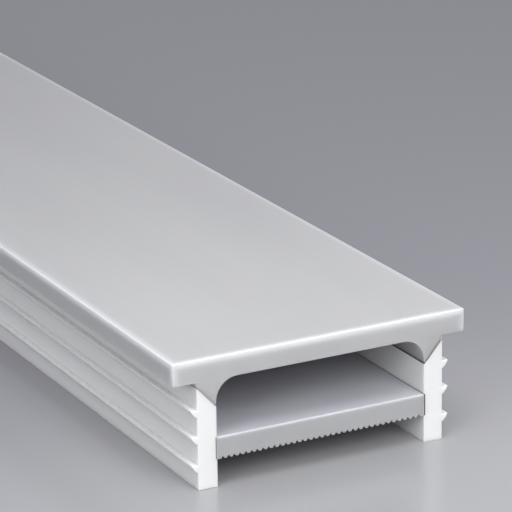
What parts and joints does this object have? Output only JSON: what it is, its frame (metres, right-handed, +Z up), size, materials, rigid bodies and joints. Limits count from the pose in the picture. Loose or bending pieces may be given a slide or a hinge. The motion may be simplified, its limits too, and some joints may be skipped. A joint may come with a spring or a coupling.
{
  "type": "silicone led channel",
  "caption": "Straight length of recessed silicone channel for a light strip: milky flanged diffuser cover, two barbed side walls and a ribbed strip plate.",
  "frame": {"origin": "middle of the rectangle that the stock stands on, under the bottoms of the two side walls", "axes": "+X across the section, +Y along the length, +Z up through the diffuser's flat face"},
  "size_m": [0.025, 1, 0.0104],
  "materials": {
    "milky_silicone": "satin, milky and slightly see-through",
    "white_silicone": "satin, opaque white",
    "plate_silicone": "satin, milky grey"
  },
  "bodies": {
    "root": {"diffuser_cover": "milky_silicone", "side_wall_left": "white_silicone", "side_wall_right": "white_silicone", "strip_plate": "plate_silicone"}
  },
  "joints": []
}
